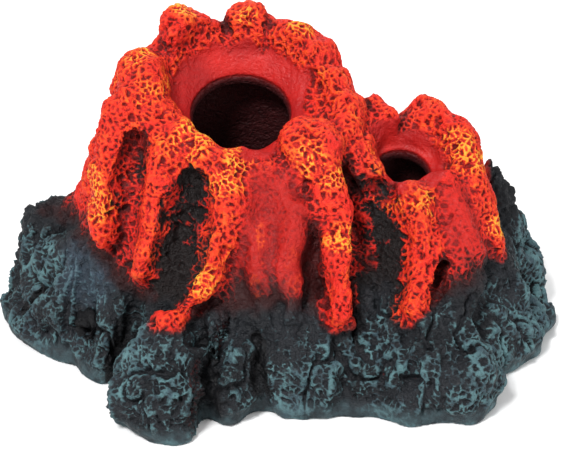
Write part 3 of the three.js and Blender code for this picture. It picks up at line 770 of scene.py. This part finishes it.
class Nodes:
    """A material's node tree, built by short calls."""

    def __init__(self, name):
        self.material = bpy.data.materials.new(name)
        self.material.use_nodes = True
        self.tree = self.material.node_tree
        self.shader = self.tree.nodes["Principled BSDF"]

    def add(self, kind, **settings):
        node = self.tree.nodes.new(kind)
        for key, value in settings.items():
            setattr(node, key, value)
        return node

    def link(self, source, target):
        self.tree.links.new(source, target)

    def feed(self, socket, value):
        if isinstance(value, bpy.types.NodeSocket):
            self.link(value, socket)
        else:
            socket.default_value = value

    def attribute(self, name):
        return self.add("ShaderNodeAttribute", attribute_name=name).outputs["Fac"]

    def math(self, operation, a, b):
        node = self.add("ShaderNodeMath", operation=operation)
        self.feed(node.inputs[0], a)
        self.feed(node.inputs[1], b)
        return node.outputs[0]

    def between(self, value, low, high, to_low=0.0, to_high=1.0):
        node = self.add("ShaderNodeMapRange", interpolation_type="SMOOTHSTEP")
        for key, given in zip(("Value", "From Min", "From Max", "To Min", "To Max"),
                              (value, low, high, to_low, to_high)):
            self.feed(node.inputs[key], given)
        return node.outputs[0]

    def mix(self, share, a, b):
        node = self.add("ShaderNodeMix", data_type="RGBA", clamp_factor=True)
        self.feed(node.inputs["Factor"], share)
        for socket, colour in ((node.inputs[6], a), (node.inputs[7], b)):
            self.feed(socket, (*colour, 1) if isinstance(colour, tuple) else colour)
        return node.outputs[2]

    def place(self):
        return self.add("ShaderNodeTexCoord").outputs["Object"]

    def noise(self, scale, detail, roughness):
        node = self.add("ShaderNodeTexNoise")
        self.link(self.place(), node.inputs["Vector"])
        for key, value in (("Scale", scale), ("Detail", detail), ("Roughness", roughness)):
            node.inputs[key].default_value = value
        return node.outputs["Fac"]

    def cells(self, scale, output="Distance"):
        node = self.add("ShaderNodeTexVoronoi", feature="F1")
        self.link(self.place(), node.inputs["Vector"])
        node.inputs["Scale"].default_value = scale
        return node.outputs[output]

    def total(self, *terms, offset=0.0):
        """Sum of (value, factor) or (value, factor, share) terms."""
        result = offset
        for value, factor, *share in terms:
            term = self.math("MULTIPLY", value, factor)
            if share:
                term = self.math("MULTIPLY", term, share[0])
            result = self.math("ADD", term, result)
        return result

    def net(self, scale, wander):
        """Distance to the nearest wall of a crooked net of cells."""
        drift = self.add("ShaderNodeTexNoise")
        self.link(self.place(), drift.inputs["Vector"])
        drift.inputs["Scale"].default_value = 600
        scaled = self.add("ShaderNodeVectorMath", operation="MULTIPLY_ADD")
        self.link(drift.outputs["Color"], scaled.inputs[0])
        scaled.inputs[1].default_value = (wander, wander, wander)
        self.link(self.place(), scaled.inputs[2])
        cells = self.add("ShaderNodeTexVoronoi", feature="DISTANCE_TO_EDGE")
        cells.inputs["Scale"].default_value = scale
        self.link(scaled.outputs[0], cells.inputs["Vector"])
        return cells.outputs["Distance"]

    def bump(self, height, distance, strength):
        node = self.add("ShaderNodeBump")
        node.inputs["Distance"].default_value = distance
        node.inputs["Strength"].default_value = strength
        self.link(height, node.inputs["Height"])
        self.link(node.outputs[0], self.shader.inputs["Normal"])


# Paints and painted shade, as linear red, green and blue.
PIT_RED = (0.12, 0.004, 0.004)
CREST_RED = (0.66, 0.019, 0.011)
SMOOTH_RED_DARK = (0.17, 0.005, 0.005)
SMOOTH_RED_LIGHT = (0.30, 0.008, 0.007)
ORANGE = (0.78, 0.105, 0.010)
YELLOW = (0.80, 0.37, 0.035)
FUNNEL_RED_DARK = (0.34, 0.009, 0.009)
FUNNEL_RED_LIGHT = (0.50, 0.015, 0.012)
# painted shade down the vents
VENT_SHADE = (0.055, 0.005, 0.006)
SCORCHED = (0.028, 0.006, 0.006)
# soot, and painted shade in the recesses
SOOT_AND_SHADE = (0.009, 0.006, 0.006)
SHADED_LAVA = (0.035, 0.004, 0.004)
ROCK_DARK = (0.007, 0.008, 0.010)
ROCK_LIGHT = (0.016, 0.018, 0.022)
TEAL_DARK = (0.045, 0.080, 0.098)
TEAL_LIGHT = (0.095, 0.190, 0.205)
SLATE_BLUE = (0.060, 0.090, 0.125)
LIP_TEAL = (0.060, 0.105, 0.118)
SHADED_ROCK = (0.004, 0.004, 0.005)
LINING_RED = (0.060, 0.006, 0.007)
LINING_BROWN = (0.030, 0.008, 0.009)

PAINT_MASKS = ("ridge", "lava", "glow", "soot_and_shade", "bowl", "vent_shade", "calm", "slate", "lip", "hollow",
               "scorch", "ash", "lining")


def lava_colour(n, mask, crest, mottle, broad):
    """Red with orange and yellow brushed on the crests, plain in the funnels, darkened by soot, with
    painted shade down the vents, in the recesses and in the hollows.
    """
    patches = n.total((mask["glow"], 1.0), (mottle, 0.9), (mask["calm"], -0.45), offset=-0.52)
    rough_red = n.mix(n.between(crest, 0.0, 0.75), PIT_RED, CREST_RED)
    smooth_red = n.mix(n.between(broad, 0.3, 0.7), SMOOTH_RED_DARK, SMOOTH_RED_LIGHT)
    colour = n.mix(n.math("MULTIPLY", mask["calm"], 0.9), rough_red, smooth_red)
    orange = n.math("MULTIPLY", n.between(crest, 0.48, 1.05), n.between(patches, -0.05, 0.70))
    colour = n.mix(orange, colour, ORANGE)
    yellow = n.math("MULTIPLY", n.between(crest, 0.70, 1.10), n.between(patches, 0.30, 0.95))
    colour = n.mix(yellow, colour, YELLOW)
    funnel = n.mix(n.between(broad, 0.35, 0.7), FUNNEL_RED_DARK, FUNNEL_RED_LIGHT)
    colour = n.mix(mask["bowl"], colour, funnel)
    # painted shade down the vent bores
    colour = n.mix(mask["vent_shade"], colour, VENT_SHADE)
    scorched = n.total((mask["scorch"], 1.0), (crest, -0.35), (mottle, 0.3), offset=-0.02)
    colour = n.mix(n.between(scorched, 0.1, 0.75), colour, SCORCHED)
    # soot and painted shade in the niche, the ravine and the spots
    sooty_and_shaded = n.total((mask["soot_and_shade"], 1.0), (crest, -0.45), (mottle, 0.5), offset=-0.05)
    colour = n.mix(n.between(sooty_and_shaded, 0.15, 0.7), colour, SOOT_AND_SHADE)
    # painted shade in the hollows of the lava
    return n.mix(n.between(mask["hollow"], 0.40, 0.95, 0.0, 0.75), colour, SHADED_LAVA)


def rock_colour(n, mask, net, speckle, mottle, broad):
    """Near-black with teal dry-brushed on the ridges, slate on the left, a paler lip, and painted shade
    in the hollows.
    """
    colour = n.mix(n.between(broad, 0.3, 0.7), ROCK_DARK, ROCK_LIGHT)
    # teal grains on the ridges, fewer where the painted shade of the hollows falls
    grain = n.total((mask["ridge"], 1.0), (speckle, 0.7), (mottle, 0.6), (net, 0.08),
                    (mask["hollow"], -0.35), offset=-0.72)
    brushed = n.total((grain, 1.0), (n.noise(42, 2, 0.5), 2.2), (mask["ash"], -0.5), offset=-1.16)
    teal = n.mix(n.between(mottle, 0.35, 0.65), TEAL_DARK, TEAL_LIGHT)
    colour = n.mix(n.between(brushed, 0.42, 1.0, 0.0, 0.9), colour, teal)
    slate = n.math("MULTIPLY", mask["slate"], n.between(mottle, 0.3, 0.7, 0.2, 0.7))
    colour = n.mix(slate, colour, SLATE_BLUE)
    lip = n.math("MULTIPLY", mask["lip"], n.between(mottle, 0.3, 0.7, 0.1, 0.6))
    colour = n.mix(lip, colour, LIP_TEAL)
    # painted shade in the hollows of the rock
    return n.mix(n.between(mask["hollow"], 0.2, 0.75, 0.0, 0.9), colour, SHADED_ROCK)


def painted_resin():
    """Lava paint above, slate-grey rock below, and a dark lining inside the hollow."""
    n = Nodes("painted_resin")
    mask = {name: n.attribute(name) for name in PAINT_MASKS}
    mottle = n.noise(260, 4, 0.6)
    speckle = n.noise(1100, 3, 0.6)
    broad = n.noise(70, 3, 0.5)
    wide_net = n.between(n.net(620, 0.0022), 0.02, 0.30, 1.0, 0.0)
    close_net = n.between(n.net(950, 0.0016), 0.02, 0.34, 0.9, 0.0)
    net = n.math("MAXIMUM", n.math("MULTIPLY", wide_net, n.between(mottle, 0.42, 0.52)),
                 n.math("MULTIPLY", close_net, n.between(mottle, 0.58, 0.44)))
    rough_parts = n.math("SUBTRACT", 1.0, n.math("MULTIPLY", mask["calm"], 0.75))
    # dry-brushed crests, lowered by the painted shade in the hollows
    crest = n.total((mask["ridge"], 1.05), (net, 0.12, rough_parts), (speckle, 0.50),
                    (mottle, 0.55), (mask["hollow"], -0.40), offset=-0.54)
    lava = lava_colour(n, mask, crest, mottle, broad)
    rock = rock_colour(n, mask, net, speckle, mottle, broad)
    surface = n.mix(mask["lava"], rock, lava)
    surface = n.mix(mask["lining"], surface, n.mix(mottle, LINING_RED, LINING_BROWN))
    n.link(surface, n.shader.inputs["Base Color"])
    rough = n.between(speckle, 0.3, 0.7, 0.50, 0.70)
    n.link(n.math("SUBTRACT", rough, n.math("MULTIPLY", mask["bowl"], 0.12)),
           n.shader.inputs["Roughness"])
    n.shader.inputs["Specular IOR Level"].default_value = 0.22
    n.bump(n.total((speckle, 0.5), (mottle, 0.5), (net, 0.7, rough_parts)), 0.6 * MM, 0.7)
    return n.material


# ------------------------------------------------------------------ the shell


def build_shell():
    """Sculpt, roughen and paint the casting."""
    values = sample_grid(shell_field, SCULPT_LOW, SCULPT_HIGH, GRID_MM)
    points, quads = surface_nets(values, SCULPT_LOW, GRID_MM)
    normal, slope = gradient(shell_field, points)
    distance = shell_field(points)
    points = points - normal * np.clip(distance / slope, -GRID_MM, GRID_MM)[:, None]
    outward = outer_field(points)
    masks = masks_at(points, normal)
    shift = roughen(points, masks)
    outside = 1 - steps(-outward, 0.3, 1.5)  # 1 on the outer skin, 0 on the walls of the hollow
    flat = steps(points[:, 2], 0.15, 1.0)
    points = points + normal * (shift * flat * (0.2 + 0.8 * outside))[:, None]
    points[:, 2] = np.maximum(points[:, 2], 0)
    points[:, 2] = np.where(flat <= 0, 0, points[:, 2])
    masks["ridge"] = crests(points, normal, quads)
    masks["lining"] = steps(-outward, 0.8, 1.8)
    piece = mesh_object("volcano_shell_painted", to_frame(points), quads, masks)
    piece.data.materials.append(painted_resin())
    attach(piece, "shell")
    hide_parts("volcano_shell")


# ------------------------------------------------------------------ the air fittings


def fitting_material(name, dark, light, scale, roughness, bump_mm):
    """Moulded plastic or rubber: two close tones, mottled, and a fine grain."""
    n = Nodes(name)
    tone = n.noise(scale, 4, 0.6)
    n.link(n.mix(n.between(tone, 0.3, 0.7), dark, light), n.shader.inputs["Base Color"])
    grain = n.noise(scale * 7, 3, 0.6)
    n.link(n.between(grain, 0.3, 0.7, roughness - 0.08, roughness + 0.10),
           n.shader.inputs["Roughness"])
    n.bump(grain, bump_mm * MM, 0.5)
    return n


STONE_DEEP_BLUE = (0.030, 0.085, 0.170)
STONE_PALE_BLUE = (0.110, 0.230, 0.370)
STONE_PORE_SHADE = (0.010, 0.025, 0.055)
GRAINS = 1500  # scale of the stones' grains

# How far the grit stays inside the plain CAD stone, at its side and at its ends, in mm.
STONE_SIDE_INSET = 0.35
STONE_END_INSET = 0.15
STONE_BEVEL = 1.8
STONE_MARGIN = 1.5  # room sampled round a stone
SOCKET = {"radius": 2.1, "depth": 7.8}  # left open for the nipple
PORE_SIZE = 1.15
PORE_DEPTH = 0.38


def air_stone_material():
    """Coarse blue grit pressed into a block, with paler grains and painted shade in the pores."""
    n = Nodes("air_stone_grit")
    tone = n.noise(500, 3, 0.6)
    grit = n.between(n.cells(GRAINS, "Color"), 0.15, 0.85)
    grains = n.mix(grit, STONE_DEEP_BLUE, STONE_PALE_BLUE)
    solid = n.between(n.attribute("ridge"), 0.15, 0.55)
    share = n.math("MULTIPLY", solid, n.between(tone, 0.2, 0.6, 0.7, 1.0))
    # painted shade in the pores, between the grains
    n.link(n.mix(share, STONE_PORE_SHADE, grains), n.shader.inputs["Base Color"])
    n.shader.inputs["Roughness"].default_value = 0.92
    n.bump(n.cells(GRAINS), 0.3 * MM, 0.8)
    return n.material


def bevelled_block(p, low, high):
    """A round block with bevelled ends, a little smaller than the box from low to high."""
    middle = (low + high) / 2
    radius = (high[0] - low[0]) / 2 - STONE_SIDE_INSET
    half = (high[2] - low[2]) / 2 - STONE_END_INSET
    across = np.hypot(p[:, 0] - middle[0], p[:, 1] - middle[1]) - radius + STONE_BEVEL
    along = np.abs(p[:, 2] - middle[2]) - half + STONE_BEVEL
    outside = np.hypot(np.maximum(across, 0), np.maximum(along, 0))
    return outside + np.minimum(np.maximum(across, along), 0) - STONE_BEVEL


def socket_field(p, low, high):
    """The bore in the stone's foot."""
    middle = (low + high) / 2
    across = np.hypot(p[:, 0] - middle[0], p[:, 1] - middle[1]) - SOCKET["radius"]
    return np.maximum(across, p[:, 2] - low[2] - SOCKET["depth"])


def build_air_stone(which, material):
    """A gritty block in place of a plain CAD stone."""
    node = f"air_stone_{which}"
    low, high = (np.array(corner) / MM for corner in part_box(node))

    def stone(p):
        return smooth_cut(bevelled_block(p, low, high), socket_field(p, low, high), 0.3)

    values = sample_grid(stone, low - STONE_MARGIN, high + STONE_MARGIN, STONE_GRID_MM)
    points, quads = surface_nets(values, low - STONE_MARGIN, STONE_GRID_MM)
    normal, _ = gradient(stone, points)
    wall, cell = bubbles(points / PORE_SIZE, 91)
    pit = steps(wall, 0.0, 0.5) * (0.3 + 0.7 * cell)
    clear = steps(socket_field(points, low, high), 0.2, 0.8)  # no pits in the socket's wall
    points = points - normal * (PORE_DEPTH * pit * clear)[:, None]
    piece = mesh_object(f"{node}_grit", points * MM, quads, {"ridge": 1 - pit})
    piece.data.materials.append(material)
    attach(piece, f"stone_{which}")
    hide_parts(node)


def build_air_stones():
    material = air_stone_material()
    for which in ("main", "side"):
        build_air_stone(which, material)


# Each fitting material: dark and light tone, scale of the mottling, roughness, grain in mm.
FITTING_LOOKS = {
    "airline_silicone": ((0.46, 0.52, 0.50), (0.66, 0.72, 0.70), 160, 0.34, 0.05),
    "cup_rubber": ((0.34, 0.39, 0.38), (0.50, 0.56, 0.54), 120, 0.38, 0.05),
    "clip_plastic": ((0.012, 0.012, 0.013), (0.026, 0.027, 0.029), 200, 0.48, 0.10),
    "fitting_plastic": ((0.008, 0.009, 0.010), (0.020, 0.022, 0.024), 240, 0.42, 0.08),
    "nipple_plastic": ((0.52, 0.53, 0.52), (0.70, 0.71, 0.69), 240, 0.45, 0.06),
}

# The material of each fitting, by the first of these that its node's name starts with.
FITTING_KINDS = {
    "tube_clip": "clip_plastic", "tube": "airline_silicone", "riser": "airline_silicone",
    "suction_cup": "cup_rubber", "inlet_coupling": "fitting_plastic", "tee": "fitting_plastic",
    "elbow": "fitting_plastic", "stone_nipple": "nipple_plastic",
}


def soften(shader, weight, depth_mm):
    """Let light into a rubbery material."""
    shader.inputs["Subsurface Weight"].default_value = weight
    shader.inputs["Subsurface Radius"].default_value = (depth_mm * MM,) * 3


def dress_fittings():
    """Give the CAD fittings their materials."""
    made = {name: fitting_material(name, *look) for name, look in FITTING_LOOKS.items()}
    silicone = made["airline_silicone"].shader
    silicone.inputs["Transmission Weight"].default_value = 0.25
    soften(silicone, 0.15, 3)
    soften(made["cup_rubber"].shader, 0.2, 2)
    for name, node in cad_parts.items():
        for start, kind in FITTING_KINDS.items():
            if name.startswith(start):
                node.data.materials[0] = made[kind].material
                break


# ------------------------------------------------------------------ stage


LAMPS_AIM_AT = (0, 0, 0.04)
# The lamps: name, place, width and power.
LAMPS = (
    ("key", (-0.30, -0.50, 0.80), 0.22, 9.0),
    ("fill", (0.70, -0.45, 0.45), 0.60, 2.5),
    ("rim", (0.10, 0.75, 0.65), 0.50, 3.0),
)
SKY_STRENGTH = 0.58
FLOOR_WIDTH = 8
FLOOR_DROP = 0.3 * MM  # keeps the floor clear of the casting's flat edge


def light_sky():
    world = bpy.data.worlds.new("studio")
    bpy.context.scene.world = world
    world.use_nodes = True
    background = world.node_tree.nodes["Background"]
    background.inputs["Color"].default_value = (1, 1, 1, 1)
    background.inputs["Strength"].default_value = SKY_STRENGTH


def lay_floor():
    bpy.ops.mesh.primitive_plane_add(size=FLOOR_WIDTH, location=(0, 0, -FLOOR_DROP))
    floor = bpy.context.object
    floor.name = "floor"
    n = Nodes("floor_white")
    n.shader.inputs["Base Color"].default_value = (0.93, 0.93, 0.93, 1)
    n.shader.inputs["Roughness"].default_value = 0.9
    floor.data.materials.append(n.material)


def hang_lamp(name, at, width, power):
    light = bpy.data.lights.new(name, "AREA")
    light.shape = "DISK"
    light.size = width
    light.energy = power
    lamp = bpy.data.objects.new(name, light)
    bpy.context.scene.collection.objects.link(lamp)
    lamp.location = at
    direction = Vector(LAMPS_AIM_AT) - Vector(at)
    lamp.rotation_euler = direction.to_track_quat("-Z", "Y").to_euler()


def stage():
    """A white floor under an even sky and three soft lamps."""
    light_sky()
    lay_floor()
    for lamp in LAMPS:
        hang_lamp(*lamp)


def camera():
    """The photograph's view as fitted: straight from the front, 28 degrees above level."""
    elevation = math.radians(28)
    distance, width = 450.0, 163.0
    film = 36
    target = np.array([0.0, -6.0, 34.0]) + FRAME_SHIFT
    place = target + distance * np.array([0, -math.cos(elevation), math.sin(elevation)])
    lens = bpy.data.cameras.new("camera")
    lens.sensor_width = film
    lens.lens = film * distance / width
    lens.clip_start = 0.01
    view = bpy.data.objects.new("camera", lens)
    bpy.context.scene.collection.objects.link(view)
    view.location = place * MM
    view.rotation_euler = (math.pi / 2 - elevation, 0, 0)
    bpy.context.scene.camera = view


camera()
build_shell()
build_air_stones()
dress_fittings()
stage()

bpy.context.scene.view_settings.view_transform = "Standard"
